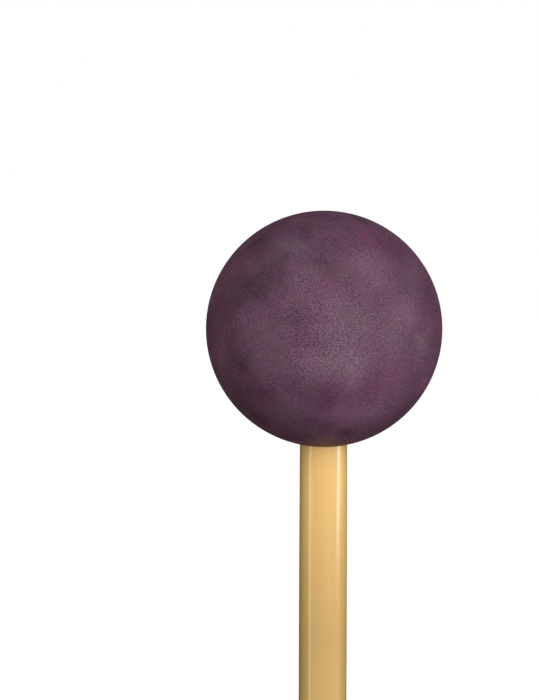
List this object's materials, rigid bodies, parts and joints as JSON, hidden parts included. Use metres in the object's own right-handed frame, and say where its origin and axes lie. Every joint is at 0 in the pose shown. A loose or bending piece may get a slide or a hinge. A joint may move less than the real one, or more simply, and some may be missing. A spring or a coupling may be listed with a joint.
{
  "type": "marimba mallet",
  "caption": "Percussion mallet with a solid rubber ball head glued on a straight, lacquered rattan handle with a rounded butt end.",
  "frame": {"origin": "middle of the grip, on the handle's axis, 120 mm above the butt end, where the player's fingers close round the handle", "axes": "+Z along the handle's axis from the butt end towards the head; the mallet is round about Z, so X and Y are free"},
  "size_m": [0.0382, 0.0382, 0.3941],
  "materials": {
    "rubber": "matte",
    "rattan": "satin",
    "glue": "satin"
  },
  "bodies": {
    "root": {"head": "rubber", "handle": "rattan", "glue_film": "glue"}
  },
  "joints": []
}
